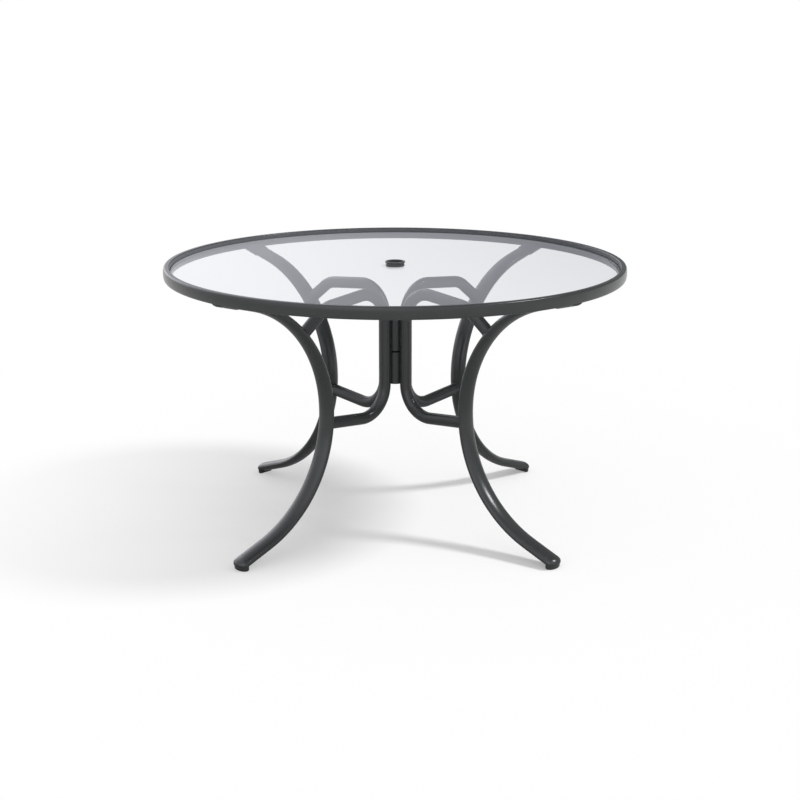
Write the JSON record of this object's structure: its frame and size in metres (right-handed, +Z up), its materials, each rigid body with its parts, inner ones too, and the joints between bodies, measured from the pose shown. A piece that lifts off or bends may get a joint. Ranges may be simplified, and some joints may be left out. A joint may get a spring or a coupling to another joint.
{
  "type": "round patio dining table",
  "caption": "Round patio dining table: a clear glass top with an umbrella hole lies in a dark rim on C-shaped tubular legs tied to a central pole hub.",
  "frame": {"origin": "on the floor below the centre of the top, under the umbrella hole", "axes": "+Z up along the umbrella pole; the legs stand on the diagonals between +X, +Y, -X and -Y"},
  "size_m": [1.219, 1.219, 0.716],
  "materials": {
    "frame": "graphite textured powder coat",
    "brackets": "cast, graphite powder coat",
    "glass": "tempered, clear",
    "gasket": "extruded vinyl",
    "ring": "moulded nylon",
    "glides": "moulded nylon",
    "screws": "stainless"
  },
  "bodies": {
    "base": {"top_rim": "frame", "glass_gasket": "gasket", "hub_sleeve_upper": "frame", "hub_sleeve_lower": "frame", "rim_screws": "screws", "leg_front_right": "frame", "leg_back_right": "frame", "leg_back_left": "frame", "leg_front_left": "frame", "brace_front_right": "frame", "brace_back_right": "frame", "brace_back_left": "frame", "brace_front_left": "frame", "foot_glide_front_right": "glides", "foot_glide_back_right": "glides", "foot_glide_back_left": "glides", "foot_glide_front_left": "glides", "rim_bracket_front_right": "brackets", "rim_bracket_back_right": "brackets", "rim_bracket_back_left": "brackets", "rim_bracket_front_left": "brackets"},
    "glass_top": {"glass_panel": "glass"},
    "ring": {"umbrella_ring": "ring"}
  },
  "joints": [
    {"name": "glass_lift", "type": "slide", "parent": "base", "child": "glass_top", "axis": [0, 0, 1], "range_m": [0, 0.06]},
    {"name": "ring_lift", "type": "slide", "parent": "glass_top", "child": "ring", "axis": [0, 0, 1], "range_m": [0, 0.04]}
  ]
}
